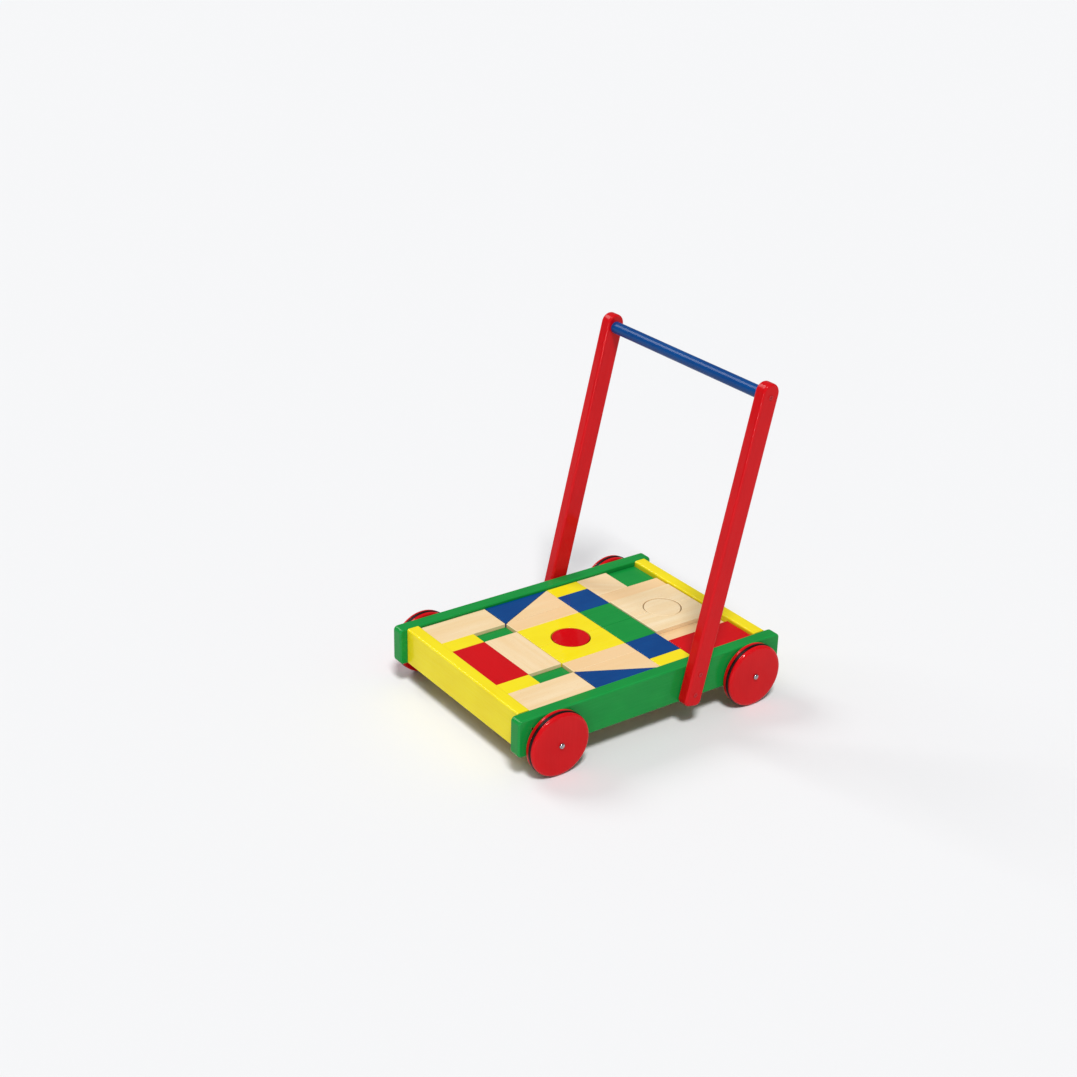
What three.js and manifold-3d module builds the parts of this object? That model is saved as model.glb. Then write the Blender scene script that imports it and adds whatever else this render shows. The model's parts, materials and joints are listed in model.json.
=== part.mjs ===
// Wooden push-along baby walker with a tray of building blocks.
// Millimetres. +Z up, floor at z = 0, origin on the floor under the middle of the walker.
// X is the width. The walker is pushed towards -Y, and its push bar is at +Y.

import * as THREE from 'three';
import { mergeVertices } from 'three/addons/utils/BufferGeometryUtils.js';
import Module from 'manifold-3d';

const wasm = await Module();
wasm.setup();

// ---- driving dimensions ----------------------------------------------------------------
const FIT_GAP = 0.3;              // clearance between pieces that touch

const BOARD_LENGTH = 412;         // green side boards
const BOARD_HEIGHT = 51;
const BOARD_THICKNESS = 18;
const BOARD_BOTTOM = 33;          // height of the boards' lower edge above the floor
const BOARD_CORNER = 6;           // corner radius seen from the side
const BOARD_ROUNDING = 2.6;       // along all its outer edges
const TRAY_WIDTH = 254;           // inside the tray
const TRAY_LENGTH = 355;

const FLOOR_THICKNESS = 3.2;
const FLOOR_BOTTOM = 46.6;
const GROOVE_DEPTH = 5;

const AXLE_RADIUS = 2.5;
const AXLE_HEIGHT = 43;           // equal to the wheels' rolling radius
const AXLE_HOLE_RADIUS = 2.9;
const AXLE_FRONT_Y = -154;
const AXLE_REAR_Y = 154;

const WHEEL_WIDTH = 15;
const WHEEL_RADIUS = 42.3;        // red flanges
const WHEEL_SEAT_RADIUS = 38;     // floor of the groove for the ring
const WHEEL_SEAT_WIDTH = 5.5;
const OUTER_SHOULDER = [3.4, 5.5]; // along the axle and inwards from the rim
const INNER_SHOULDER = [1.5, 2.5];
const WHEEL_BOARD_GAP = 1.2;
const WHEEL_BORE_RADIUS = 2.9;
const WHEEL_SIDES = 32;
const RING_WIDTH = 4.8;

const CAP_RADIUS = 3.8;
const CAP_LENGTH = 2.8;
const CAP_WALL = 0.9;

const UPRIGHT_WIDTH = 26;         // seen from the side
const UPRIGHT_THICKNESS = 16.5;   // across the walker
const UPRIGHT_ROUNDING = 3.2;
const UPRIGHT_FOOT_CORNER = 8;
const UPRIGHT_LEAN = THREE.MathUtils.degToRad(13);
const UPRIGHT_FOOT_Y = 49;        // where its centre line meets the foot
const UPRIGHT_FOOT_Z = 32;
const UPRIGHT_TOP_ABOVE_BAR = 17; // along the upright, from the bar's axis
const BAR_HEIGHT = 430;
const BAR_RADIUS = 8;

const SCREW_HEAD_RADIUS = 3;
const SCREW_HEAD_HEIGHT = 1.2;
const SCREW_SHANK_RADIUS = 1.6;
const SCREW_HOLE_RADIUS = 2.1;
const SCREW_INTO_BOARD = 9;
const SCREW_INTO_BAR = 22;
const UPRIGHT_SCREW_HEIGHTS = [48, 75.5];

const UNIT = 50;                  // side of a 1 x 1 block
const BLOCK_THICKNESS = 30;
const THICK_BLOCK = 31.5;         // a few blocks stand a little proud of the others, or lie lower
const THIN_BLOCK = 27;
const THINNEST_BLOCK = 25.5;
const BLOCK_GAP = 0.45;           // loose fit between neighbouring 1 x 1 blocks
const DISC_RADIUS = 24.7;
const ARCH_RADIUS = 26;
const TRIANGLE_TRIM = 0.99;       // keeps the two triangles of a pair apart along their long sides

// ---- derived places ---------------------------------------------------------------------
const SIDE_BOARD_X = TRAY_WIDTH / 2 + BOARD_THICKNESS / 2;
const BOARD_OUTER_X = TRAY_WIDTH / 2 + BOARD_THICKNESS;
const END_BOARD_Y = TRAY_LENGTH / 2 + BOARD_THICKNESS / 2;
const BOARD_MIDDLE_Z = BOARD_BOTTOM + BOARD_HEIGHT / 2;
const UPRIGHT_X = BOARD_OUTER_X + FIT_GAP + UPRIGHT_THICKNESS / 2;
const UPRIGHT_OUTER_X = UPRIGHT_X + UPRIGHT_THICKNESS / 2;
const WHEEL_INNER_X = BOARD_OUTER_X + WHEEL_BOARD_GAP;
const WHEEL_X = WHEEL_INNER_X + WHEEL_WIDTH / 2;
const WHEEL_OUTER_X = WHEEL_INNER_X + WHEEL_WIDTH;
const BLOCK_BOTTOM = FLOOR_BOTTOM + FLOOR_THICKNESS + FIT_GAP;

// Left and right as the child who pushes the walker sees them.
const SIDES = { left: 1, right: -1 };
const AXLES = { front: AXLE_FRONT_Y, rear: AXLE_REAR_Y };

const alongUpright = (z) => UPRIGHT_FOOT_Y + (z - UPRIGHT_FOOT_Z) * Math.tan(UPRIGHT_LEAN);
const BAR_Y = alongUpright(BAR_HEIGHT);

// ---- finishes -----------------------------------------------------------------------------
const paint = (color) => new THREE.MeshStandardMaterial({ color, roughness: 0.35, metalness: 0 });
const finishes = {
  red: paint(0xc81923),
  green: paint(0x1f8a3b),
  yellow: paint(0xf0dc28),
  blue: paint(0x174b96),
  natural: new THREE.MeshStandardMaterial({ color: 0xe8cd9a, roughness: 0.6, metalness: 0 }),
  plywood: new THREE.MeshStandardMaterial({ color: 0xd9bd8a, roughness: 0.7, metalness: 0 }),
  rubber: new THREE.MeshStandardMaterial({ color: 0x1d1a1b, roughness: 0.8, metalness: 0 }),
  steel: new THREE.MeshStandardMaterial({ color: 0xb9bcc0, roughness: 0.3, metalness: 1 }),
  enamel: paint(0xb81a22),
};

// ---- small geometry helpers ------------------------------------------------------------------
function toSolid(geometry) {
  const bare = geometry.clone();
  bare.deleteAttribute('normal');
  bare.deleteAttribute('uv');
  const merged = mergeVertices(bare, 1e-4);
  return new wasm.Manifold(new wasm.Mesh({
    numProp: 3,
    vertProperties: new Float32Array(merged.attributes.position.array),
    triVerts: new Uint32Array(merged.index.array),
  }));
}

function toGeometry(solid) {
  const mesh = solid.getMesh();
  const geometry = new THREE.BufferGeometry();
  geometry.setAttribute('position', new THREE.BufferAttribute(new Float32Array(mesh.vertProperties), 3));
  geometry.setIndex(new THREE.BufferAttribute(new Uint32Array(mesh.triVerts), 1));
  return geometry;
}

function cut(geometry, cutters) {
  const solid = cutters.reduce((rest, cutter) => rest.subtract(toSolid(cutter)), toSolid(geometry));
  return toGeometry(solid);
}

function box(width, length, height, x = 0, y = 0, z = 0) {
  return new THREE.BoxGeometry(width, length, height).translate(x, y, z);
}

// A round rod along X, its middle at x, y, z.
function rodAlongX(radius, length, x = 0, y = 0, z = 0, sides = 16) {
  return new THREE.CylinderGeometry(radius, radius, length, sides).rotateZ(Math.PI / 2).translate(x, y, z);
}

// A closed profile of [x along the axle, radius] points, turned about the X axis. The polygon has a flat
// at the bottom, and its flats, not its corners, lie at the stated radius.
function turnedAboutX(profile, sides) {
  const toFlat = 1 / Math.cos(Math.PI / sides);
  const points = profile.map(([x, radius]) => new THREE.Vector2(radius * toFlat, x));
  const geometry = new THREE.LatheGeometry(points, sides);
  return geometry.rotateY(Math.PI / sides).rotateZ(-Math.PI / 2);
}

// A profile whose x grows outwards from the tray, as it lies on one side of the walker.
function outwards(profile, side) {
  return side > 0 ? profile : profile.map(([x, radius]) => [-x, radius]).reverse();
}

// A small trim piece on one side of the walker, turned about X, with its corners at the stated radius.
function turnedOutwards(profile, sides, side) {
  const points = profile.map(([x, radius]) => new THREE.Vector2(radius, x));
  return new THREE.LatheGeometry(points, sides).rotateZ(-Math.PI / 2 * side);
}

function roundedRectangle(width, height, radius) {
  const shape = new THREE.Shape();
  const [x, y] = [width / 2, height / 2];
  shape.moveTo(-x + radius, -y);
  shape.absarc(x - radius, -y + radius, radius, -Math.PI / 2, 0, false);
  shape.absarc(x - radius, y - radius, radius, 0, Math.PI / 2, false);
  shape.absarc(-x + radius, y - radius, radius, Math.PI / 2, Math.PI, false);
  shape.absarc(-x + radius, -y + radius, radius, Math.PI, 1.5 * Math.PI, false);
  return shape;
}

// An outline made into a flat plate, half its thickness either side of z = 0, with its edges rounded.
function plate(shape, thickness, curveSegments, rounding = 0) {
  const depth = thickness - 2 * rounding;
  const edges = {
    bevelEnabled: rounding > 0, bevelSegments: 3,
    bevelThickness: rounding, bevelSize: rounding, bevelOffset: -rounding,
  };
  return new THREE.ExtrudeGeometry(shape, { depth, curveSegments, ...edges }).translate(0, 0, -depth / 2);
}

// Turns a plate drawn in X and Y so that it stands up: its X runs along Y and its Y runs up.
function standAlongY(geometry) {
  return geometry.rotateX(Math.PI / 2).rotateZ(Math.PI / 2);
}

// ---- tray ---------------------------------------------------------------------------------------
function grooveCutter() {
  const width = TRAY_WIDTH + 2 * GROOVE_DEPTH;
  const length = TRAY_LENGTH + 2 * GROOVE_DEPTH;
  const height = FLOOR_THICKNESS + 2 * FIT_GAP;
  return box(width, length, height, 0, 0, FLOOR_BOTTOM + FLOOR_THICKNESS / 2);
}

function sideBoard(side) {
  const outline = roundedRectangle(BOARD_LENGTH, BOARD_HEIGHT, BOARD_CORNER);
  const blank = standAlongY(plate(outline, BOARD_THICKNESS, 5, BOARD_ROUNDING))
    .translate(side * SIDE_BOARD_X, 0, BOARD_MIDDLE_Z);
  const through = 2 * BOARD_THICKNESS;
  const axleHoles = Object.values(AXLES).map((y) => (
    rodAlongX(AXLE_HOLE_RADIUS, through, side * SIDE_BOARD_X, y, AXLE_HEIGHT)));
  const pilotX = side * (BOARD_OUTER_X - SCREW_INTO_BOARD / 2);
  const pilots = UPRIGHT_SCREW_HEIGHTS.map((z) => (
    rodAlongX(SCREW_HOLE_RADIUS, SCREW_INTO_BOARD + 1, pilotX, alongUpright(z), z, 12)));
  return cut(blank, [grooveCutter(), ...axleHoles, ...pilots]);
}

function endBoard(end) {
  const width = TRAY_WIDTH - 2 * FIT_GAP;
  const blank = box(width, BOARD_THICKNESS, BOARD_HEIGHT, 0, end * END_BOARD_Y, BOARD_MIDDLE_Z);
  return cut(blank, [grooveCutter()]);
}

function trayFloor() {
  const inset = 2 * (GROOVE_DEPTH - 0.5);
  const middle = FLOOR_BOTTOM + FLOOR_THICKNESS / 2;
  return box(TRAY_WIDTH + inset, TRAY_LENGTH + inset, FLOOR_THICKNESS, 0, 0, middle);
}

// ---- handle ----------------------------------------------------------------------------------------
// Seen from the side, standing on its foot at the origin: a strip with a round top and softened foot.
function uprightOutline(height) {
  const half = UPRIGHT_WIDTH / 2;
  const foot = UPRIGHT_FOOT_CORNER;
  const shape = new THREE.Shape();
  shape.moveTo(-half + foot, 0);
  shape.absarc(half - foot, foot, foot, -Math.PI / 2, 0, false);
  shape.absarc(0, height - half, half, 0, Math.PI, false);
  shape.absarc(-half + foot, foot, foot, Math.PI, 1.5 * Math.PI, false);
  return shape;
}

function upright(side) {
  const barUp = (BAR_HEIGHT - UPRIGHT_FOOT_Z) / Math.cos(UPRIGHT_LEAN);
  const outline = uprightOutline(barUp + UPRIGHT_TOP_ABOVE_BAR);
  const strip = standAlongY(plate(outline, UPRIGHT_THICKNESS, 8, UPRIGHT_ROUNDING))
    .rotateX(-UPRIGHT_LEAN)
    .translate(side * UPRIGHT_X, UPRIGHT_FOOT_Y, UPRIGHT_FOOT_Z);
  const holes = [...UPRIGHT_SCREW_HEIGHTS, BAR_HEIGHT].map((z) => (
    rodAlongX(SCREW_HOLE_RADIUS, 2 * UPRIGHT_THICKNESS, side * UPRIGHT_X, alongUpright(z), z, 12)));
  return cut(strip, holes);
}

function handleBar() {
  const bar = rodAlongX(BAR_RADIUS, 2 * BOARD_OUTER_X, 0, BAR_Y, BAR_HEIGHT, 24);
  const pilots = Object.values(SIDES).map((side) => (
    rodAlongX(SCREW_HOLE_RADIUS, SCREW_INTO_BAR + 1, side * (BOARD_OUTER_X - SCREW_INTO_BAR / 2),
      BAR_Y, BAR_HEIGHT, 12)));
  return cut(bar, pilots);
}

// A dome-headed screw driven inwards along X from the upright's outer face.
function screw(side, depth, y, z) {
  const start = UPRIGHT_OUTER_X + FIT_GAP;
  const shank = UPRIGHT_THICKNESS + depth;
  const profile = [
    [-shank, 0], [-shank, SCREW_SHANK_RADIUS], [0, SCREW_SHANK_RADIUS],
    [0, SCREW_HEAD_RADIUS], [0.5 * SCREW_HEAD_HEIGHT, 0.86 * SCREW_HEAD_RADIUS], [SCREW_HEAD_HEIGHT, 0],
  ];
  return turnedOutwards(profile, 12, side).translate(side * start, y, z);
}

// ---- running gear ---------------------------------------------------------------------------------------
function axle(y) {
  return rodAlongX(AXLE_RADIUS, 2 * WHEEL_OUTER_X + 2, 0, y, AXLE_HEIGHT, 20);
}

// The rounding of a rim, from the wheel's flat face to its tread.
function shoulder([deep, wide]) {
  return [0, 30, 60, 90].map(THREE.MathUtils.degToRad).map((a) => (
    [WHEEL_WIDTH / 2 - deep * (1 - Math.cos(a)), WHEEL_RADIUS - wide * (1 - Math.sin(a))]));
}

function wheelProfile() {
  const [half, seat] = [WHEEL_WIDTH / 2, WHEEL_SEAT_WIDTH / 2];
  return [
    [-half, WHEEL_BORE_RADIUS], ...shoulder(INNER_SHOULDER).map(([x, radius]) => [-x, radius]),
    [-seat, WHEEL_RADIUS], [-seat, WHEEL_SEAT_RADIUS],
    [seat, WHEEL_SEAT_RADIUS], [seat, WHEEL_RADIUS],
    ...shoulder(OUTER_SHOULDER).reverse(), [half, WHEEL_BORE_RADIUS],
    [-half, WHEEL_BORE_RADIUS],
  ];
}

function ringProfile() {
  const half = RING_WIDTH / 2;
  const [inner, outer] = [WHEEL_SEAT_RADIUS + FIT_GAP, AXLE_HEIGHT];
  return [
    [-half, inner], [-half, outer - half], [-half / 2, outer], [half / 2, outer], [half, outer - half],
    [half, inner], [-half, inner],
  ];
}

// A domed cap pushed on to the axle's end, hollow on the wheel's side.
function axleCap(side, y) {
  const hole = AXLE_RADIUS + FIT_GAP;
  const inside = CAP_LENGTH - CAP_WALL;
  const profile = [
    [inside, 0], [inside - 0.2, hole], [0, hole], [0, CAP_RADIUS], [1, CAP_RADIUS],
    [CAP_LENGTH - 0.6, 0.7 * CAP_RADIUS], [CAP_LENGTH, 0],
  ];
  return turnedOutwards(profile, 16, side).translate(side * (WHEEL_OUTER_X + 0.4), y, AXLE_HEIGHT);
}

// ---- blocks -------------------------------------------------------------------------------
// Places in the tray are counted in units: u from the front end, v from the right side.
const PITCH = UNIT + BLOCK_GAP;
const placeX = (v) => (v - 5 / 2) * PITCH;
const placeY = (u) => (u - 7 / 2) * PITCH;

function polygon(points) {
  return new THREE.Shape(points.map(([x, y]) => new THREE.Vector2(x, y)));
}

// Every outline is drawn about the middle of the block's own width and length.
const outlines = {
  brick: (width, length) => {
    const [x, y] = [width / 2, length / 2];
    return polygon([[-x, -y], [x, -y], [x, y], [-x, y]]);
  },
  // Right angle at the right front corner.
  triangle: (width, length) => {
    const [x, y] = [width / 2, length / 2];
    return polygon([[-x, -y], [-x + TRIANGLE_TRIM * width, -y], [-x, -y + TRIANGLE_TRIM * length]]);
  },
  // Half-round notch in the left long side.
  arch: (width, length) => {
    const [x, y] = [width / 2, length / 2];
    const shape = new THREE.Shape();
    shape.moveTo(-x, -y);
    shape.lineTo(x, -y);
    shape.lineTo(x, -ARCH_RADIUS);
    shape.absarc(x, 0, ARCH_RADIUS, -Math.PI / 2, Math.PI / 2, true);
    shape.lineTo(x, y);
    shape.lineTo(-x, y);
    return shape;
  },
  disc: () => new THREE.Shape().absarc(0, 0, DISC_RADIUS, 0, 2 * Math.PI, false),
};

// name, finish, outline, u range, v range, and for some a half turn, a thickness of its own or a shift
// in X and Y to where it lies in its place
const BLOCKS = [
  ['plank_natural_front_right', 'natural', 'brick', [0, 2], [0, 1]],
  ['plank_natural_front_left', 'natural', 'brick', [0, 2], [4, 5]],
  ['brick_yellow_front_right', 'yellow', 'brick', [0, 1], [1, 1.5]],
  ['brick_yellow_front_left', 'yellow', 'brick', [0, 1], [3.5, 4]],
  ['brick_green_front_right', 'green', 'brick', [1, 2], [1, 1.5], { thickness: THINNEST_BLOCK }],
  ['brick_green_front_left', 'green', 'brick', [1, 2], [3.5, 4], { thickness: THINNEST_BLOCK }],
  ['plank_red_front', 'red', 'brick', [0, 1], [1.5, 3.5]],
  ['plank_natural_front', 'natural', 'brick', [1, 2], [1.5, 3.5]],
  ['triangle_blue_right', 'blue', 'triangle', [2, 4], [0, 1]],
  ['triangle_natural_right', 'natural', 'triangle', [2, 4], [0, 1], { halfTurn: true }],
  ['lath_natural_middle_right', 'natural', 'brick', [2, 4], [1, 1.5]],
  ['arch_yellow_right', 'yellow', 'arch', [2, 4], [1.5, 2.5]],
  ['arch_yellow_left', 'yellow', 'arch', [2, 4], [2.5, 3.5], { halfTurn: true }],
  ['disc_red', 'red', 'disc', [2, 4], [2, 3]],
  ['lath_natural_middle_left', 'natural', 'brick', [2, 4], [3.5, 4]],
  ['triangle_natural_left', 'natural', 'triangle', [2, 4], [4, 5], { mirrored: true, halfTurn: true }],
  ['triangle_blue_left', 'blue', 'triangle', [2, 4], [4, 5], { mirrored: true }],
  ['brick_yellow_rear_right', 'yellow', 'brick', [4, 5], [0, 0.5]],
  ['square_blue_right', 'blue', 'brick', [4, 5], [0.5, 1.5]],
  ['square_green_right', 'green', 'brick', [4, 5], [1.5, 2.5]],
  ['square_green_left', 'green', 'brick', [4, 5], [2.5, 3.5]],
  ['square_blue_left', 'blue', 'brick', [4, 5], [3.5, 4.5]],
  ['brick_yellow_rear_left', 'yellow', 'brick', [4, 5], [4.5, 5]],
  ['square_natural', 'natural', 'brick', [5, 6], [0, 1]],
  ['square_green_corner', 'green', 'brick', [6, 7], [0, 1], { thickness: THIN_BLOCK }],
  ['lath_natural_rear_right', 'natural', 'brick', [5, 7], [1, 1.5]],
  ['arch_natural_right', 'natural', 'arch', [5, 7], [1.5, 2.5], { thickness: THICK_BLOCK }],
  ['arch_natural_left', 'natural', 'arch', [5, 7], [2.5, 3.5], { halfTurn: true, thickness: THICK_BLOCK }],
  ['disc_natural', 'natural', 'disc', [5, 7], [2, 3], { thickness: THICK_BLOCK, shift: [0.7, -0.6] }],
  ['lath_natural_rear_left', 'natural', 'brick', [5, 7], [3.5, 4], { thickness: THINNEST_BLOCK }],
  ['plank_red_rear', 'red', 'brick', [5, 7], [4, 5]],
];

function block(kind, [u0, u1], [v0, v1], options = {}) {
  const { halfTurn, mirrored, thickness = BLOCK_THICKNESS, shift: [x, y] = [0, 0] } = options;
  const outline = outlines[kind]((v1 - v0) * UNIT, (u1 - u0) * UNIT);
  const solid = plate(outline, thickness, 12);
  if (mirrored) solid.rotateY(Math.PI);
  if (halfTurn) solid.rotateZ(Math.PI);
  const z = BLOCK_BOTTOM + thickness / 2;
  return solid.translate(placeX((v0 + v1) / 2) + x, placeY((u0 + u1) / 2) + y, z);
}

// ---- assembly --------------------------------------------------------------------------------
const walker = new THREE.Group();

function add(name, geometry, finish) {
  const mesh = new THREE.Mesh(geometry, finishes[finish]);
  mesh.name = name;
  walker.add(mesh);
}

function addTray() {
  for (const [name, side] of Object.entries(SIDES)) add(`side_board_${name}`, sideBoard(side), 'green');
  add('end_board_front', endBoard(-1), 'yellow');
  add('end_board_rear', endBoard(1), 'yellow');
  add('tray_floor', trayFloor(), 'plywood');
}

function addHandle() {
  add('handle_bar', handleBar(), 'blue');
  for (const [name, side] of Object.entries(SIDES)) {
    add(`upright_${name}`, upright(side), 'red');
    add(`handle_screw_${name}`, screw(side, SCREW_INTO_BAR, BAR_Y, BAR_HEIGHT), 'enamel');
    UPRIGHT_SCREW_HEIGHTS.forEach((z, index) => {
      const level = ['lower', 'upper'][index];
      const made = screw(side, SCREW_INTO_BOARD - 0.5, alongUpright(z), z);
      add(`upright_screw_${name}_${level}`, made, 'enamel');
    });
  }
}

function addWheels() {
  for (const [end, y] of Object.entries(AXLES)) {
    add(`axle_${end}`, axle(y), 'steel');
    for (const [name, side] of Object.entries(SIDES)) {
      const atAxle = (geometry) => geometry.translate(side * WHEEL_X, y, AXLE_HEIGHT);
      add(`wheel_${end}_${name}`, atAxle(turnedAboutX(outwards(wheelProfile(), side), WHEEL_SIDES)), 'red');
      add(`wheel_ring_${end}_${name}`, atAxle(turnedAboutX(ringProfile(), WHEEL_SIDES)), 'rubber');
      add(`axle_cap_${end}_${name}`, axleCap(side, y), 'steel');
    }
  }
}

function addBlocks() {
  for (const [name, finish, kind, uRange, vRange, options] of BLOCKS) {
    add(name, block(kind, uRange, vRange, options), finish);
  }
}

addTray();
addHandle();
addWheels();
addBlocks();

export default walker;
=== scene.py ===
"""Looks of the wooden baby walker and its building blocks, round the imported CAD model.

Metres, +Z up, floor at z = 0. X is the width, +X is the left of the child who pushes,
and the walker is pushed towards -Y. Every piece is rebuilt in the box of the CAD node that it
stands for, with rounded edges and exact normals. Only the nails have no CAD node.
"""

import json
import math
import random

import bpy
from mathutils import Matrix, Vector
from mathutils.geometry import tessellate_polygon

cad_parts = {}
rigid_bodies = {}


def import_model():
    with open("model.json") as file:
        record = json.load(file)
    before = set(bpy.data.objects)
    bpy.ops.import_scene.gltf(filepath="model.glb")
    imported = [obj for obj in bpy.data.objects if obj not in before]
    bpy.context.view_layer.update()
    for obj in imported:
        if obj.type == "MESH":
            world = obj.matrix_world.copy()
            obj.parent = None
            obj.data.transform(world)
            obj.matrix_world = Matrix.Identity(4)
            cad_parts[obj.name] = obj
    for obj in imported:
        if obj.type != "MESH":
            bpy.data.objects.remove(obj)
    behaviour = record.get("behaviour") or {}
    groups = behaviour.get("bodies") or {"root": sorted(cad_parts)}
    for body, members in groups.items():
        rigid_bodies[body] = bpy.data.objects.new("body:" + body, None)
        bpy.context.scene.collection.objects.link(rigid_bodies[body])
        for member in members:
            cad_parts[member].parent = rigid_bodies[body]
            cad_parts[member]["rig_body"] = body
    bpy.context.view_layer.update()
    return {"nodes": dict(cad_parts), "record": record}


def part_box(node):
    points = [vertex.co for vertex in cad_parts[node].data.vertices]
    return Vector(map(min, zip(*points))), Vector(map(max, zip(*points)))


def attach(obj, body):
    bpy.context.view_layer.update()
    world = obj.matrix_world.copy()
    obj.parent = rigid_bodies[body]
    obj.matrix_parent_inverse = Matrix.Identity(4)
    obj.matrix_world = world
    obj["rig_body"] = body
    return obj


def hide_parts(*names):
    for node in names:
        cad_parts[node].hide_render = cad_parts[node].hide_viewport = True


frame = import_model()

MM = 0.001
X_AXIS, Y_AXIS, Z_AXIS = (1, 0, 0), (0, 1, 0), (0, 0, 1)
CORNER_SIGNS = ((-1, -1), (1, -1), (1, 1), (-1, 1))   # anticlockwise from above
OUTWARDS = {"left": 1, "right": -1}                   # which way along X a side faces
ENDS = ("front", "rear")

# ---- fineness of the meshes ----------------------------------------------------------------------
ARC_STEP = math.radians(7.5)      # the longest step along a rounded outline
EDGE_STEPS = 5                    # steps across a rounded edge
TURN_STEPS = 96                   # steps round a wheel, a ring, the bar or a disc
SCREW_STEPS = 64
AXLE_STEPS = 48                   # an axle and its caps
NAIL_STEPS = 32
HOLE_STEPS = 32
SHOULDER_STEPS = 9                # steps across a wheel's rounded rim
SCREW_DOME_STEPS = 20
CAP_DOME_STEPS = 12
ON_AXIS = 1e-7                    # metres from the axis that still count as on it

# ---- sizes that the nodes' boxes don't give ------------------------------------------------------
CRISP = 0.05 * MM                 # roundings of small parts
EASED = 0.1 * MM
BLUNT = 0.2 * MM
SOFT = 0.4 * MM

BOARD_CORNER = 6 * MM             # side boards, seen from the side
BOARD_ROUNDING = 2.6 * MM         # long edges of all boards
END_ROUNDING = 0.5 * MM           # sawn ends that butt against a neighbour
PANEL_CORNER = 1 * MM
AXLE_HOLE = 2.9 * MM
AXLE_ROUNDING = 0.5 * MM

UPRIGHT_WIDTH = 26 * MM
UPRIGHT_FOOT_CORNER = 8 * MM
UPRIGHT_ROUNDING = 3.2 * MM
SCREW_HOLE = 2.1 * MM
HOLE_ROUNDING = 0.3 * MM
SCREW_HEAD = 1.2 * MM             # height of a screw's head
SCREW_SHANK = 1.6 * MM
SCREW_POINT = 2 * MM
RECESS_DEPTH = 0.8 * MM           # the cross in a screw's head
RECESS_HALF_LENGTH = 1.7 * MM
RECESS_HALF_WIDTH = 0.42 * MM
RECESS_FLATNESS = 4               # the higher, the flatter its bottom

WHEEL_SEAT = 38 * MM              # radius of the groove that holds the ring
WHEEL_SEAT_HALF = 2.75 * MM       # half of its width
WHEEL_FLANGE = 42.3 * MM
OUTER_SHOULDER = (3.4 * MM, 5.5 * MM)   # along the axle and inwards from the rim
INNER_SHOULDER = (1.5 * MM, 2.5 * MM)
WHEEL_BORE = 2.9 * MM
RING_CLEARANCE = 0.3 * MM
RING_ROUNDING = 0.3 * MM
RING_TREAD = 0.9                  # the tread's rounding, as a share of half the ring's width
CAP_WALL = 0.9 * MM
CAP_FULLNESS = 0.8                # a cap with 1 is half an ellipse, and with less it is fuller

NAIL_RADIUS = 1.6 * MM
NAIL_SHANK = 0.8 * MM
NAIL_LENGTH = 6 * MM
NAIL_RISE = 0.4 * MM
NAIL_CROWN = 0.5                  # share of the head's radius that is nearly flat
NAIL_CROWN_ROUNDING = 0.5 * MM
NAIL_RIM = 0.15 * MM              # height of the head's rim
NAIL_HEIGHTS = {"lower": 0.3, "upper": 0.72}   # share of the side board's height

BLOCK_ROUNDING = 0.8 * MM
BLOCK_CORNER = 1.0 * MM           # upright corners of a block
TRIANGLE_ROUNDING = 0.5 * MM
TRIANGLE_CORNER = 0.65 * MM
NOTCH_RADIUS = 26 * MM            # half-round notches of the arches

# Which corner of a triangular block is the square one, as signs along X and Y.
SQUARE_CORNERS = {"triangle_blue_right": (-1, -1), "triangle_natural_right": (1, 1),
                  "triangle_blue_left": (1, -1), "triangle_natural_left": (-1, 1)}

# ---- wood ----------------------------------------------------------------------------------------
GRAIN_TILT = 0.05                 # radians that a piece's grain leans, either way
GRAIN_REACH = 5                   # metres of grain, either way, that the pieces are cut from
GRAIN_DIRECTIONS = {"square_natural": (0.6, 0.8, 0)}   # where it doesn't follow the longer side

# How far a block's wood leans from cream to tan. The arches and their disc are of paler stock.
WOOD_TINTS = {"arch": 0.0, "disc": 0.05, "plank": 0.4, "brick": 0.5, "square": 0.5,
              "triangle": 0.85, "lath": 1.0}
MIDDLE_TINT = 0.5                 # all pieces but the blocks
TINT_SPREAD = 0.12                # how far a single piece strays from its kind, either way

# ---- colours, as 0-255 screen values -------------------------------------------------------------
# Each paint has its colour, a lighter tone for its streaks that is also its painted highlight on
# rounded edges, and where it lies thick.
PAINTS = {
    "paint_red": ("red_paint", (206, 4, 14), (220, 26, 34), (184, 2, 10)),
    "paint_green": ("green_paint", (16, 144, 58), (44, 160, 78), (8, 124, 52)),
    "paint_yellow": ("yellow_paint", (242, 224, 20), (248, 234, 84), (232, 204, 12)),
    "paint_blue": ("blue_paint", (1, 68, 134), (10, 86, 152), (1, 46, 110)),
    "enamel_red": ("red_enamel", (186, 24, 34), (214, 70, 72), (150, 12, 24)),
}
WOOD = {"cream": (248, 230, 192), "band": (240, 212, 162), "patch": (240, 210, 160),
        "fibre": (214, 176, 122), "fleck": (184, 138, 88), "tan": (240, 198, 142),
        "painted_highlight": (247, 228, 188)}
VENEER = {"pale": (222, 190, 138), "band": (196, 156, 102), "pore": (150, 110, 68)}
RUBBER = {"dark": (26, 8, 8), "bloom": (40, 15, 14)}
STEEL = {"bright": (190, 190, 194), "dull": (150, 150, 154)}

# ---- camera --------------------------------------------------------------------------------------
CAMERA_AIM = Vector((-0.066, -0.033, 0.197))
CAMERA_DISTANCE = 2.31
CAMERA_AZIMUTH = math.radians(54.5)
CAMERA_ELEVATION = math.radians(25.3)
CAMERA_ROLL = math.radians(1.3)
CAMERA_SENSOR = 36                # millimetres
CAMERA_LENS = 59.7                # millimetres
CAMERA_REACH = 50                 # metres

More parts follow.
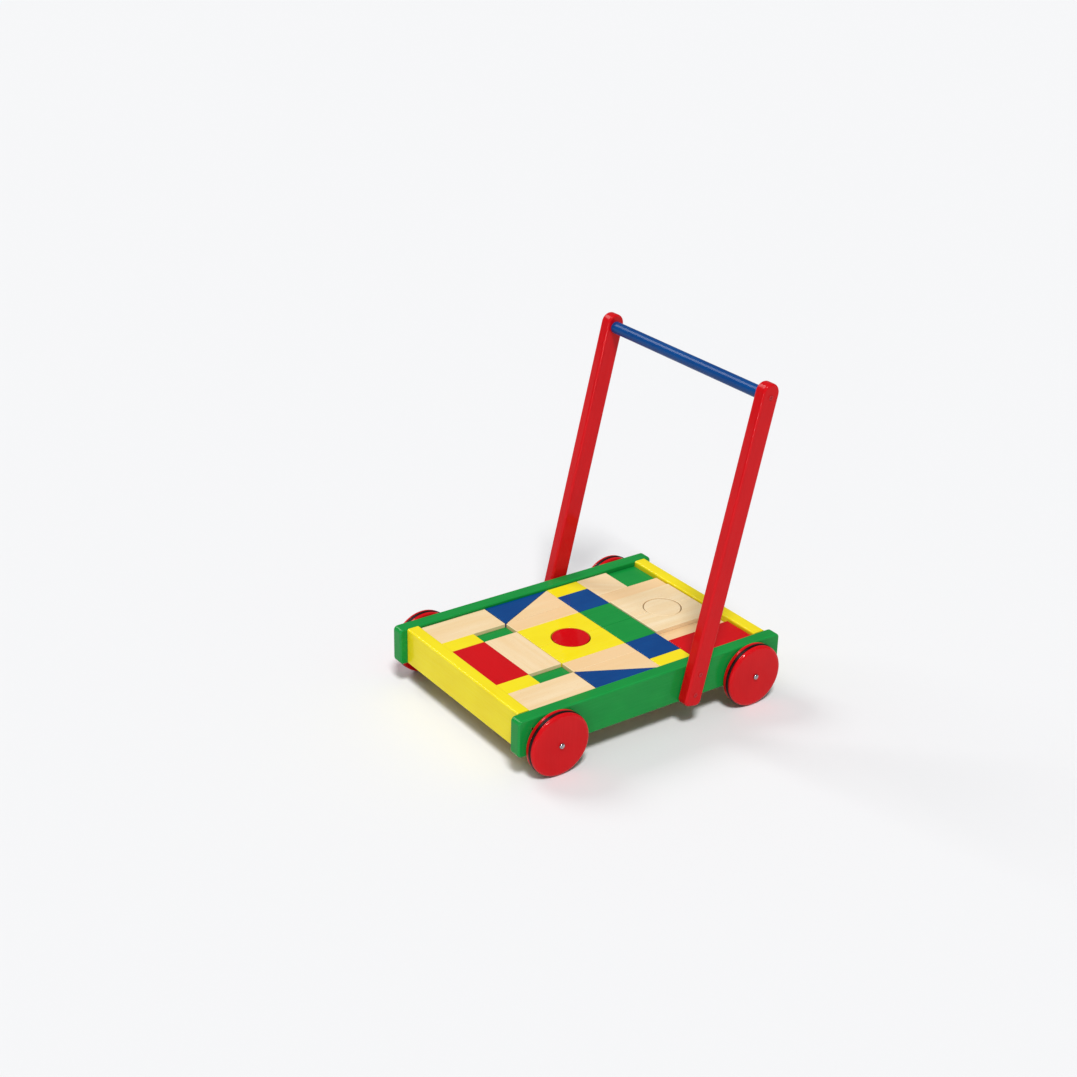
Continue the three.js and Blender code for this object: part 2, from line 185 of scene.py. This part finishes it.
# ---- light ---------------------------------------------------------------------------------------
WORLD_COLOUR = (0.95, 0.97, 1.0, 1)
WORLD_STRENGTH = 0.27
FLOOR_COLOUR = (0.835, 0.835, 0.84, 1)
FLOOR_HALF = 40                   # metres

# Soft lights from far away, their angles in degrees. The azimuth is counted from the front, -Y,
# towards +X.
LIGHTS = {
    "key": {"azimuth": 62, "elevation": 60, "strength": 2.35, "spread": 13},
    "fill": {"azimuth": -70, "elevation": 42, "strength": 0.95, "spread": 26},
    "low_front": {"azimuth": 38, "elevation": 2, "strength": 0.25, "spread": 6},
}

# A plate drawn in two axes stands up: its first axis runs along Y, its second up, its depth along X.
STANDING = Matrix(((0, 0, 1, 0), (1, 0, 0, 0), (0, 1, 0, 0), (0, 0, 0, 1)))
LYING = Matrix.Identity(4)


# ---- outlines ------------------------------------------------------------------------------------
def direction(a, b):
    return (b - a).normalized()


def outward(d):
    """Outward normal of an edge that runs along d, on an outline drawn anticlockwise."""
    return Vector((d.y, -d.x))


def rounded(corners):
    """Closed outline from (x, y, radius) corners, as (point, normal, miter) for each vertex.

    A corner with no radius is a point on a curve: it stays where it is. The miter is how much
    further than the distance itself the vertex moves when the outline is drawn inwards."""
    outline = []
    count = len(corners)
    for i, (x, y, radius) in enumerate(corners):
        before = Vector(corners[i - 1][:2])
        here = Vector((x, y))
        after = Vector(corners[(i + 1) % count][:2])
        n0, n1 = outward(direction(before, here)), outward(direction(here, after))
        turn = math.atan2(n0.cross(n1), n0.dot(n1))
        miter = 1 / math.cos(turn / 2)
        if radius == 0:
            outline.append((here, (n0 + n1).normalized(), miter))
            continue
        side = math.copysign(1, turn)
        centre = here - (n0 + n1).normalized() * (radius * miter * side)
        steps = max(2, math.ceil(abs(turn) / ARC_STEP))
        for k in range(steps + 1):
            angle = turn * k / steps
            normal = Matrix.Rotation(angle, 2) @ n0
            outline.append((centre + normal * (radius * side), normal, 1))
    return outline


def circle(radius, x, y, steps):
    """A round outline, anticlockwise."""
    outline = []
    for k in range(steps):
        angle = 2 * math.pi * k / steps
        normal = Vector((math.cos(angle), math.sin(angle)))
        outline.append((Vector((x, y)) + normal * radius, normal, 1))
    return outline


def hole(radius, x, y):
    """A round hole, clockwise: its outward normals point into the opening."""
    return [(point, -normal, 1) for point, normal, _ in reversed(circle(radius, x, y, HOLE_STEPS))]


def rectangle(half_width, half_height, corner, x, y):
    return rounded([(x + i * half_width, y + j * half_height, corner) for i, j in CORNER_SIGNS])


def arc_points(radius, x, y, start, end):
    """Points of an arc as corners with no radius."""
    steps = max(2, math.ceil(abs(end - start) / ARC_STEP))
    angles = [start + (end - start) * k / steps for k in range(steps + 1)]
    return [(x + radius * math.cos(a), y + radius * math.sin(a), 0) for a in angles]


def quarter_turn(steps):
    """The angles of a quarter turn, both ends included."""
    return [math.pi / 2 * k / steps for k in range(steps + 1)]


# ---- meshes --------------------------------------------------------------------------------------
def show(name, data):
    """Puts a mesh, a light or a camera into the scene."""
    made = bpy.data.objects.new(name, data)
    bpy.context.scene.collection.objects.link(made)
    return made


def smooth_piece(name, points, faces, normals, edge_highlight_mask):
    """A smooth mesh with its exact normals, and how far each vertex is round an edge: the mask for
    the painted highlight on rounded edges.
    """
    mesh = bpy.data.meshes.new(name)
    mesh.from_pydata(points, [], faces)
    mesh.polygons.foreach_set("use_smooth", [True] * len(mesh.polygons))
    mesh.normals_split_custom_set_from_vertices(normals)
    mesh.attributes.new("edge", "FLOAT", "POINT").data.foreach_set("value", edge_highlight_mask)
    return show(name, mesh)


def prism(name, loops, low, high, place=LYING):
    """A plate between two heights. The loops are its outline and any holes, each as (vertices,
    rounding of its edges)."""
    points, normals, edge_highlight_mask, faces = [], [], [], []
    bottoms, tops, flats = [], [], []
    turn = place.to_3x3()
    for loop, rounding in loops:
        size = len(loop)
        quarter = quarter_turn(EDGE_STEPS)
        levels = [(low + rounding, -angle) for angle in reversed(quarter)]
        levels += [(high - rounding, angle) for angle in quarter]
        first = len(points)
        for height, angle in levels:
            wall, flat = math.cos(angle), math.sin(angle)
            for point, normal, miter in loop:
                at = point - normal * (rounding * (1 - wall) * miter)
                points.append(place @ Vector((at.x, at.y, height + rounding * flat)))
                normals.append(turn @ Vector((normal.x * wall, normal.y * wall, flat)))
                # mask for the painted edge highlight, strongest halfway round the rounding
                edge_highlight_mask.append(abs(2 * wall * flat))
        for level in range(len(levels) - 1):
            for i in range(size):
                a = first + level * size + i
                b = first + level * size + (i + 1) % size
                faces.append((a, b, b + size, a + size))
        last = len(points) - size
        bottoms += range(first, first + size)
        tops += range(last, last + size)
        inset = [point - normal * (rounding * miter) for point, normal, miter in loop]
        flats.append([point.to_3d() for point in inset])
    if len(loops) == 1:
        faces += [tuple(reversed(bottoms)), tuple(tops)]
    else:
        for triangle in tessellate_polygon(flats):
            a, b, c = (points[tops[i]] for i in triangle)
            upwards = (b - a).cross(c - a).dot(turn @ Vector(Z_AXIS)) > 0
            i, j, k = triangle if upwards else reversed(triangle)
            faces += [(tops[i], tops[j], tops[k]), (bottoms[k], bottoms[j], bottoms[i])]
    return smooth_piece(name, points, faces, normals, edge_highlight_mask)


def turned(name, corners, place, steps=TURN_STEPS):
    """A solid of revolution about X. Its (x, radius, rounding) corners run from the +X end on the
    axis, out and round, to the -X end, or in a closed ring that stays off the axis."""
    points, normals, edge_highlight_mask, rings = [], [], [], []
    turn = place.to_3x3()
    for point, normal, _ in rounded(corners):
        on_axis = point.y < ON_AXIS
        count = 1 if on_axis else steps
        rings.append([len(points) + k for k in range(count)])
        if on_axis:
            normal = Vector((math.copysign(1, normal.x), 0))
        for k in range(count):
            angle = 2 * math.pi * k / steps
            c, s = math.cos(angle), math.sin(angle)
            points.append(place @ Vector((point.x, point.y * c, point.y * s)))
            normals.append(turn @ Vector((normal.x, normal.y * c, normal.y * s)))
            # mask for the painted edge highlight, strongest halfway round the rounding
            edge_highlight_mask.append(abs(2 * normal.x * normal.y))
    faces = []
    for one, two in zip(rings, rings[1:] + rings[:1]):
        if len(one) == 1 and len(two) == 1:
            continue
        for k in range(steps):
            strip = [(one, k), (two, k), (two, k + 1), (one, k + 1)]
            corners_of_face = [level[i % len(level)] for level, i in strip]
            faces.append(tuple(dict.fromkeys(corners_of_face)))
    if place.determinant() < 0:
        faces = [face[::-1] for face in faces]
    return smooth_piece(name, points, faces, normals, edge_highlight_mask)


# ---- grain ---------------------------------------------------------------------------------------
def set_values(piece, name, kind, key, values):
    piece.data.attributes.new(name, kind, "POINT").data.foreach_set(key, values)


def lay_grain(piece, along, tint):
    """Each piece carries its own wood: a place in the grain, which runs along the given direction,
    and a tint near the given one. Its name picks the part of the plank that it is cut from."""
    draw = random.Random(piece.name)
    turn = Vector(along).rotation_difference(Vector(X_AXIS)).to_matrix()
    tilt = Matrix.Rotation(draw.uniform(-GRAIN_TILT, GRAIN_TILT), 3, "Z")
    start = Vector([draw.uniform(-GRAIN_REACH, GRAIN_REACH) for _ in range(3)])
    places = [tilt @ turn @ vertex.co + start for vertex in piece.data.vertices]
    set_values(piece, "grain", "FLOAT_VECTOR", "vector", [value for place in places for value in place])
    shade = min(1, max(0, tint + draw.uniform(-TINT_SPREAD, TINT_SPREAD)))
    set_values(piece, "tint", "FLOAT", "value", [shade] * len(places))


# ---- materials -----------------------------------------------------------------------------------
def linear(colour):
    """A colour given as 0-255 screen values, for a shader."""
    def channel(value):
        share = value / 255
        return share / 12.92 if share <= 0.04045 else ((share + 0.055) / 1.055) ** 2.4
    return (*map(channel, colour), 1)


class Shading:
    """A material's node tree, built one node at a time."""

    def __init__(self, name):
        self.material = bpy.data.materials.new(name)
        self.material.use_nodes = True
        self.tree = self.material.node_tree
        self.tree.nodes.clear()

    def node(self, kind, inputs, **settings):
        made = self.tree.nodes.new("ShaderNode" + kind)
        for key, value in settings.items():
            setattr(made, key, value)
        for key, value in inputs.items():
            if isinstance(value, bpy.types.NodeSocket):
                self.tree.links.new(value, made.inputs[key])
            else:
                made.inputs[key].default_value = value
        return made

    def value(self, name):
        return self.node("Attribute", {}, attribute_name=name).outputs["Fac"]

    def place(self, scale):
        """Where a point is in its wood, in millimetres times scale along, across and through."""
        where = self.node("Attribute", {}, attribute_name="grain").outputs["Vector"]
        stretched = [share / MM for share in scale]
        return self.node("Mapping", {"Vector": where, "Scale": stretched}).outputs["Vector"]

    def noise(self, scale, detail, roughness=0.5, distortion=0):
        inputs = {"Vector": self.place(scale), "Scale": 1, "Detail": detail,
                  "Roughness": roughness, "Distortion": distortion}
        return self.node("TexNoise", inputs).outputs["Fac"]

    def times(self, a, b):
        return self.node("Math", {0: a, 1: b}, operation="MULTIPLY").outputs[0]

    def between(self, value, low, high, to_low=0, to_high=1):
        """Eases from to_low to to_high while the value goes from low to high."""
        inputs = {"Value": value, "From Min": low, "From Max": high,
                  "To Min": to_low, "To Max": to_high}
        return self.node("MapRange", inputs, interpolation_type="SMOOTHSTEP").outputs["Result"]

    def mix(self, share, a, b):
        return self.node("Mix", {0: share, 6: a, 7: b}, data_type="RGBA").outputs[2]

    def bump(self, height, depth, strength, under=None):
        inputs = {"Height": height, "Distance": depth, "Strength": strength}
        if under:
            inputs["Normal"] = under
        return self.node("Bump", inputs).outputs["Normal"]

    def surface(self, **inputs):
        sockets = {key.replace("_", " "): value for key, value in inputs.items()}
        shader = self.node("BsdfPrincipled", sockets)
        self.node("OutputMaterial", {"Surface": shader.outputs["BSDF"]})
        return self.material


def paint(name, colour, thin, thick):
    """Gloss paint brushed and sprayed over wood smoothed by sanding: the grain shows through as faint
    ridges and lighter streaks, a painted highlight lightens the rounded edges, and the colour varies a
    little from piece to piece."""
    s = Shading(name)
    cloud = s.noise((0.02, 0.03, 0.03), detail=4)
    streak = s.noise((0.02, 0.7, 0.7), detail=5, roughness=0.6)
    pores = s.noise((0.15, 2.2, 2.2), detail=3)
    peel = s.noise((0.5, 0.5, 0.5), detail=2)
    body = s.mix(s.between(cloud, 0.3, 0.7, to_high=0.35), linear(colour), linear(thick))
    body = s.mix(s.between(streak, 0.35, 0.75, to_high=0.22), body, linear(thin))
    body = s.mix(s.times(s.value("tint"), 0.12), body, linear(thick))
    # painted highlight: rounded edges are mixed towards the lighter tone, patchy along the streaks
    highlight_strength = s.between(streak, 0.25, 0.75, to_low=0.15, to_high=0.5)
    body = s.mix(s.times(s.value("edge"), highlight_strength), body, linear(thin))
    gloss = s.between(cloud, 0.3, 0.7, to_low=0.32, to_high=0.42)
    relief = s.bump(streak, 0.10 * MM, 0.35)
    relief = s.bump(pores, 0.03 * MM, 0.35, relief)
    relief = s.bump(peel, 0.03 * MM, 0.5, relief)
    return s.surface(Base_Color=body, Roughness=gloss, Normal=relief, IOR=1.45,
                     Specular_IOR_Level=0.05, Coat_Weight=0.26, Coat_Roughness=0.08)


def natural_wood():
    """Pale close-grained hardwood under a sheer satin lacquer: broad growth bands, fine fibres,
    short dark flecks, and a painted highlight that lightens the rounded edges."""
    s = Shading("pale_wood")
    warp = s.noise((0.012, 0.05, 0.05), detail=2)
    bands = s.noise((0.004, 0.09, 0.09), detail=3, distortion=0.5)
    fibres = s.noise((0.06, 2.6, 2.6), detail=4, roughness=0.65)
    flecks = s.noise((0.35, 2.4, 2.4), detail=1)
    body = s.mix(s.between(bands, 0.25, 0.8), linear(WOOD["cream"]), linear(WOOD["band"]))
    body = s.mix(s.between(warp, 0.35, 0.7, to_high=0.5), body, linear(WOOD["patch"]))
    body = s.mix(s.between(fibres, 0.4, 0.7, to_high=0.22), body, linear(WOOD["fibre"]))
    body = s.mix(s.between(flecks, 0.66, 0.76, to_high=0.45), body, linear(WOOD["fleck"]))
    body = s.mix(s.times(s.value("tint"), 0.7), body, linear(WOOD["tan"]))
    # painted highlight: rounded edges are mixed towards a paler cream
    body = s.mix(s.times(s.value("edge"), 0.55), body, linear(WOOD["painted_highlight"]))
    gloss = s.between(fibres, 0.3, 0.7, to_low=0.42, to_high=0.56)
    relief = s.bump(fibres, 0.05 * MM, 0.5)
    relief = s.bump(bands, 0.15 * MM, 0.3, relief)
    return s.surface(Base_Color=body, Roughness=gloss, Normal=relief, IOR=1.48,
                     Coat_Weight=0.12, Coat_Roughness=0.25)


def plywood():
    """Rotary-cut veneer: wide lazy bands, open pores and a dry surface."""
    s = Shading("thin_plywood")
    bands = s.noise((0.01, 0.09, 0.09), detail=3, distortion=1.5)
    fibres = s.noise((0.05, 1.6, 1.6), detail=5, roughness=0.7)
    body = s.mix(s.between(bands, 0.35, 0.65), linear(VENEER["pale"]), linear(VENEER["band"]))
    body = s.mix(s.between(fibres, 0.45, 0.75, to_high=0.5), body, linear(VENEER["pore"]))
    gloss = s.between(fibres, 0.3, 0.7, to_low=0.6, to_high=0.78)
    return s.surface(Base_Color=body, Roughness=gloss, Normal=s.bump(fibres, 0.12 * MM, 0.6))


def rubber():
    """Moulded dark rubber with a fine bloom and a scuffed tread."""
    s = Shading("dark_rubber")
    bloom = s.noise((0.08, 0.08, 0.08), detail=4)
    grit = s.noise((1.8, 1.8, 1.8), detail=3)
    body = s.mix(s.between(bloom, 0.35, 0.7), linear(RUBBER["dark"]), linear(RUBBER["bloom"]))
    gloss = s.between(bloom, 0.3, 0.7, to_low=0.38, to_high=0.55)
    return s.surface(Base_Color=body, Roughness=gloss, Normal=s.bump(grit, 0.06 * MM, 0.5),
                     Specular_IOR_Level=0.18)


def plated_steel():
    """Bright zinc-plated steel with drawing marks round it and a little dulling."""
    s = Shading("plated_steel")
    marks = s.noise((2.5, 0.4, 0.4), detail=4, roughness=0.7)
    dulling = s.noise((0.3, 0.3, 0.3), detail=3)
    body = s.mix(s.between(dulling, 0.35, 0.7), linear(STEEL["bright"]), linear(STEEL["dull"]))
    gloss = s.between(marks, 0.3, 0.7, to_low=0.07, to_high=0.14)
    relief = s.bump(marks, 0.02 * MM, 0.4)
    return s.surface(Base_Color=body, Metallic=1.0, Roughness=gloss, Normal=relief)


def make_finishes():
    """A material for each of the record's slots."""
    finishes = {slot: paint(*looks) for slot, looks in PAINTS.items()}
    finishes.update(wood_natural=natural_wood(), plywood=plywood(), rubber=rubber(),
                    steel=plated_steel())
    return finishes


# ---- joining pieces to the frame -----------------------------------------------------------------
SLOTS = {part["node"]: part["material_slot"] for part in frame["record"]["subparts"]}
FINISHES = make_finishes()


def dress(piece, body, slot, along, tint=MIDDLE_TINT):
    """Gives a piece its grain and its material, and fixes it to a body."""
    lay_grain(piece, along, tint)
    piece.data.materials.append(FINISHES[slot])
    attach(piece, body)


def stand_in(piece, node, along, tint=MIDDLE_TINT):
    """The piece takes the CAD node's body and finish, and is shown in its place."""
    dress(piece, frame["nodes"][node]["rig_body"], SLOTS[node], along, tint)
    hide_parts(node)


def middle_and_half(node):
    low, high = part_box(node)
    return (low + high) / 2, (high - low) / 2


def finished(node):
    """The name of the piece that stands in for a CAD node."""
    return node + "_finished"


def facing(side, x, y, z):
    """A place on one side of the walker whose own X axis points outwards."""
    return Matrix.Translation((x, y, z)) @ Matrix.Diagonal((OUTWARDS[side], 1, 1, 1))


# ---- tray ----------------------------------------------------------------------------------------
def side_board(side):
    node = f"side_board_{side}"
    middle, half = middle_and_half(node)
    loops = [(rectangle(half.y, half.z, BOARD_CORNER, middle.y, middle.z), BOARD_ROUNDING)]
    for end in ENDS:
        axle, _ = middle_and_half(f"axle_{end}")
        loops.append((hole(AXLE_HOLE, axle.y, axle.z), HOLE_ROUNDING))
    piece = prism(finished(node), loops, middle.x - half.x, middle.x + half.x, STANDING)
    stand_in(piece, node, Y_AXIS)


def end_board(end):
    node = f"end_board_{end}"
    middle, half = middle_and_half(node)
    loops = [(rectangle(half.y, half.z, BOARD_ROUNDING, middle.y, middle.z), END_ROUNDING)]
    piece = prism(finished(node), loops, middle.x - half.x, middle.x + half.x, STANDING)
    stand_in(piece, node, X_AXIS)


def tray_floor():
    middle, half = middle_and_half("tray_floor")
    loops = [(rectangle(half.x, half.y, PANEL_CORNER, middle.x, middle.y), END_ROUNDING)]
    piece = prism(finished("tray_floor"), loops, middle.z - half.z, middle.z + half.z)
    stand_in(piece, "tray_floor", Y_AXIS)


def nails(side, end):
    """Two nails through the side board into the end board, their domed heads just proud."""
    board, half = middle_and_half(f"side_board_{side}")
    end_middle, _ = middle_and_half(f"end_board_{end}")
    face = board.x + OUTWARDS[side] * half.x
    corners = [(NAIL_RISE, 0, 0), (NAIL_RISE, NAIL_CROWN * NAIL_RADIUS, NAIL_CROWN_ROUNDING),
               (NAIL_RIM, NAIL_RADIUS, EASED), (0, NAIL_RADIUS, CRISP), (0, NAIL_SHANK, CRISP),
               (-NAIL_LENGTH, NAIL_SHANK, BLUNT), (-NAIL_LENGTH, 0, 0)]
    for level, share in NAIL_HEIGHTS.items():
        z = board.z + (2 * share - 1) * half.z
        place = facing(side, face, end_middle.y, z)
        piece = turned(f"nail_{end}_{side}_{level}", corners, place, NAIL_STEPS)
        dress(piece, "frame", "steel", X_AXIS)


# ---- handle --------------------------------------------------------------------------------------
def upright(side):
    """A strip with a round top and a softened foot, leaning along the line through its screws."""
    node = f"upright_{side}"
    low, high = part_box(node)
    lower, _ = middle_and_half(f"upright_screw_{side}_lower")
    upper, _ = middle_and_half(f"upright_screw_{side}_upper")
    top, _ = middle_and_half(f"handle_screw_{side}")
    lean = math.atan2(top.y - lower.y, top.z - lower.z)
    half, corner = UPRIGHT_WIDTH / 2, UPRIGHT_FOOT_CORNER
    foot_z = low.z + corner - corner * math.cos(lean) + (half - corner) * math.sin(lean)
    foot_y = lower.y - (lower.z - foot_z) * math.tan(lean)
    length = (high.z - half - foot_z) / math.cos(lean)
    corners = [(-half, 0, corner), (half, 0, corner), *arc_points(half, 0, length, 0, math.pi)]
    loops = [(rounded(corners), UPRIGHT_ROUNDING)]
    for screw in (lower, upper, top):
        loops.append((hole(SCREW_HOLE, 0, (screw.z - foot_z) / math.cos(lean)), HOLE_ROUNDING))
    place = Matrix.Translation((0, foot_y, foot_z)) @ Matrix.Rotation(-lean, 4, "X") @ STANDING
    piece = prism(finished(node), loops, low.x, high.x, place)
    stand_in(piece, node, (0, math.sin(lean), math.cos(lean)))


def rod(node, rounding, steps):
    """A round bar along X with softened ends."""
    middle, half = middle_and_half(node)
    corners = [(half.x, 0, 0), (half.x, half.z, rounding), (-half.x, half.z, rounding), (-half.x, 0, 0)]
    piece = turned(finished(node), corners, Matrix.Translation(middle), steps)
    stand_in(piece, node, X_AXIS)


def dome_angles(steps):
    """The angles of a quarter turn without its ends."""
    return quarter_turn(steps)[1:-1]


def screw(node, side):
    """A domed head with a cross recess, on a plain shank."""
    middle, half = middle_and_half(node)
    tip = -2 * half.x
    head = half.z
    dome = [(-SCREW_HEAD * (1 - math.cos(a)), head * math.sin(a), 0)
            for a in dome_angles(SCREW_DOME_STEPS)]
    corners = [(0, 0, 0), *dome, (-SCREW_HEAD, head, CRISP), (-SCREW_HEAD, SCREW_SHANK, CRISP),
               (tip + SCREW_POINT, SCREW_SHANK, BLUNT), (tip, 0, 0)]
    place = facing(side, middle.x + OUTWARDS[side] * half.x, middle.y, middle.z)
    piece = turned(finished(node), corners, place, SCREW_STEPS)
    cut_cross(piece.data, place)
    stand_in(piece, node, X_AXIS)


def cut_cross(mesh, place):
    """Sinks a cross recess into the head of a screw whose head is at the origin of its place."""
    back = place.inverted()
    for vertex in mesh.vertices:
        x, y, z = back @ vertex.co
        short, long = sorted((abs(y), abs(z)))
        if x > -SCREW_HEAD and short < RECESS_HALF_WIDTH and long < RECESS_HALF_LENGTH:
            deep = RECESS_DEPTH * (1 - (long / RECESS_HALF_LENGTH) ** RECESS_FLATNESS)
            vertex.co = place @ Vector((x - deep, y, z))
    mesh.normals_split_custom_set_from_vertices([vertex.normal for vertex in mesh.vertices])


# ---- running gear --------------------------------------------------------------------------------
def shoulder(face, size):
    """The rounding of a rim, from the wheel's flat face to its tread."""
    depth, width = size
    return [(face - depth * (1 - math.cos(a)), WHEEL_FLANGE - width * (1 - math.sin(a)), 0)
            for a in quarter_turn(SHOULDER_STEPS)]


def wheel(end, side):
    """A turned disc with soft rims and a groove for its ring."""
    node = f"wheel_{end}_{side}"
    middle, half = middle_and_half(node)
    face, seat = half.x, WHEEL_SEAT_HALF
    outer = shoulder(face, OUTER_SHOULDER)
    inner = [(-x, radius, 0) for x, radius, _ in reversed(shoulder(face, INNER_SHOULDER))]
    corners = [(face, WHEEL_BORE, SOFT), *outer,
               (seat, WHEEL_FLANGE, SOFT), (seat, WHEEL_SEAT, SOFT),
               (-seat, WHEEL_SEAT, SOFT), (-seat, WHEEL_FLANGE, SOFT),
               *inner, (-face, WHEEL_BORE, SOFT)]
    piece = turned(finished(node), corners, facing(side, *middle))
    stand_in(piece, node, Z_AXIS)


def ring(end, side):
    """A rubber ring with a round tread. The wheel stands on it, so its middle is a radius up."""
    node = f"wheel_ring_{end}_{side}"
    middle, half = middle_and_half(node)
    inner, outer = WHEEL_SEAT + RING_CLEARANCE, middle.z
    tread = RING_TREAD * half.x
    corners = [(half.x, inner, RING_ROUNDING), (half.x, outer, tread),
               (-half.x, outer, tread), (-half.x, inner, RING_ROUNDING)]
    piece = turned(finished(node), corners, facing(side, *middle))
    stand_in(piece, node, X_AXIS)


def cap(end, side):
    """A pressed cap, hollow behind, pushed on to the axle's end."""
    node = f"axle_cap_{end}_{side}"
    middle, half = middle_and_half(node)
    radius, depth = half.z, 2 * half.x
    hollow, roof = radius - CAP_WALL, depth - CAP_WALL
    dome = [(depth * math.cos(a) ** CAP_FULLNESS, radius * math.sin(a), 0)
            for a in dome_angles(CAP_DOME_STEPS)]
    corners = [(depth, 0, 0), *dome, (0, radius, EASED), (0, hollow, EASED), (roof, hollow, SOFT),
               (roof, 0, 0)]
    place = facing(side, middle.x - OUTWARDS[side] * half.x, middle.y, middle.z)
    piece = turned(finished(node), corners, place, AXLE_STEPS)
    stand_in(piece, node, X_AXIS)


# ---- blocks --------------------------------------------------------------------------------------
def brick_outline(node, middle, half):
    return rectangle(half.x, half.y, BLOCK_CORNER, middle.x, middle.y)


def triangle_outline(node, middle, half):
    i, j = SQUARE_CORNERS[node]
    corners = [(i, j), (-i, j), (i, -j)]
    if i * j < 0:
        corners.reverse()
    return rounded([(middle.x + x * half.x, middle.y + y * half.y, TRIANGLE_CORNER) for x, y in corners])


def arch_outline(node, middle, half):
    """The notch opens towards the middle of the tray."""
    notch = arc_points(NOTCH_RADIUS, half.x, 0, 1.5 * math.pi, 0.5 * math.pi)
    for lip in (0, -1):
        notch[lip] = (*notch[lip][:2], BLOCK_CORNER)
    corners = [(-half.x, -half.y, BLOCK_CORNER), (half.x, -half.y, BLOCK_CORNER), *notch,
               (half.x, half.y, BLOCK_CORNER), (-half.x, half.y, BLOCK_CORNER)]
    turn = 1 if node.endswith("right") else -1
    return rounded([(middle.x + turn * x, middle.y + turn * y, radius) for x, y, radius in corners])


def disc_outline(node, middle, half):
    return circle(half.x, middle.x, middle.y, TURN_STEPS)


OUTLINES = {"plank": brick_outline, "brick": brick_outline, "lath": brick_outline,
            "square": brick_outline, "triangle": triangle_outline, "arch": arch_outline,
            "disc": disc_outline}


def kind_of(node):
    return node.split("_")[0]


def block(node):
    kind = kind_of(node)
    middle, half = middle_and_half(node)
    rounding = TRIANGLE_ROUNDING if kind == "triangle" else BLOCK_ROUNDING
    loops = [(OUTLINES[kind](node, middle, half), rounding)]
    piece = prism(finished(node), loops, middle.z - half.z, middle.z + half.z)
    along = X_AXIS if half.x > half.y else Y_AXIS
    stand_in(piece, node, GRAIN_DIRECTIONS.get(node, along), WOOD_TINTS[kind])


# ---- studio --------------------------------------------------------------------------------------
def camera():
    data = bpy.data.cameras.new("camera")
    data.sensor_width = CAMERA_SENSOR
    data.lens = CAMERA_LENS
    data.clip_end = CAMERA_REACH
    made = show("camera", data)
    swing = Matrix.Rotation(CAMERA_AZIMUTH, 4, "Z")
    lift = Matrix.Rotation(math.pi / 2 - CAMERA_ELEVATION, 4, "X")
    turn = swing @ lift @ Matrix.Rotation(CAMERA_ROLL, 4, "Z")
    back = turn.to_3x3() @ Vector(Z_AXIS)
    made.matrix_world = Matrix.Translation(CAMERA_AIM + back * CAMERA_DISTANCE) @ turn
    bpy.context.scene.camera = made


def floor():
    """A wide pale floor. Seen from underneath it lets the view through."""
    mesh = bpy.data.meshes.new("studio_floor")
    corners = [(x * FLOOR_HALF, y * FLOOR_HALF, 0) for x, y in CORNER_SIGNS]
    mesh.from_pydata(corners, [], [(0, 1, 2, 3)])
    made = show("studio_floor", mesh)
    s = Shading("pale_floor")
    paper = s.node("BsdfDiffuse", {"Color": FLOOR_COLOUR})
    clear = s.node("BsdfTransparent", {})
    behind = s.node("NewGeometry", {}).outputs["Backfacing"]
    both = s.node("MixShader", {0: behind, 1: paper.outputs[0], 2: clear.outputs[0]})
    s.node("OutputMaterial", {"Surface": both.outputs[0]})
    mesh.materials.append(s.material)


def sun(name, azimuth, elevation, strength, spread):
    data = bpy.data.lights.new(name, "SUN")
    data.energy = strength
    data.angle = math.radians(spread)
    made = show(name, data)
    turn, rise = math.radians(azimuth), math.radians(elevation)
    flat = math.cos(rise)
    towards = Vector((math.sin(turn) * flat, -math.cos(turn) * flat, math.sin(rise)))
    made.rotation_euler = towards.to_track_quat("Z", "Y").to_euler()


def surroundings():
    world = bpy.data.worlds.new("studio")
    world.use_nodes = True
    background = world.node_tree.nodes["Background"]
    background.inputs["Color"].default_value = WORLD_COLOUR
    background.inputs["Strength"].default_value = WORLD_STRENGTH
    bpy.context.scene.world = world
    bpy.context.scene.view_settings.view_transform = "Standard"


# ---- the walker ----------------------------------------------------------------------------------
camera()
surroundings()
floor()
for name, light in LIGHTS.items():
    sun(name, **light)

for side in OUTWARDS:
    side_board(side)
    upright(side)
    screw(f"handle_screw_{side}", side)
    for level in ("lower", "upper"):
        screw(f"upright_screw_{side}_{level}", side)
    for end in ENDS:
        nails(side, end)
        wheel(end, side)
        ring(end, side)
        cap(end, side)
for end in ENDS:
    end_board(end)
    rod(f"axle_{end}", AXLE_ROUNDING, AXLE_STEPS)
rod("handle_bar", SOFT, TURN_STEPS)
tray_floor()
for node in sorted(frame["nodes"]):
    if kind_of(node) in OUTLINES:
        block(node)
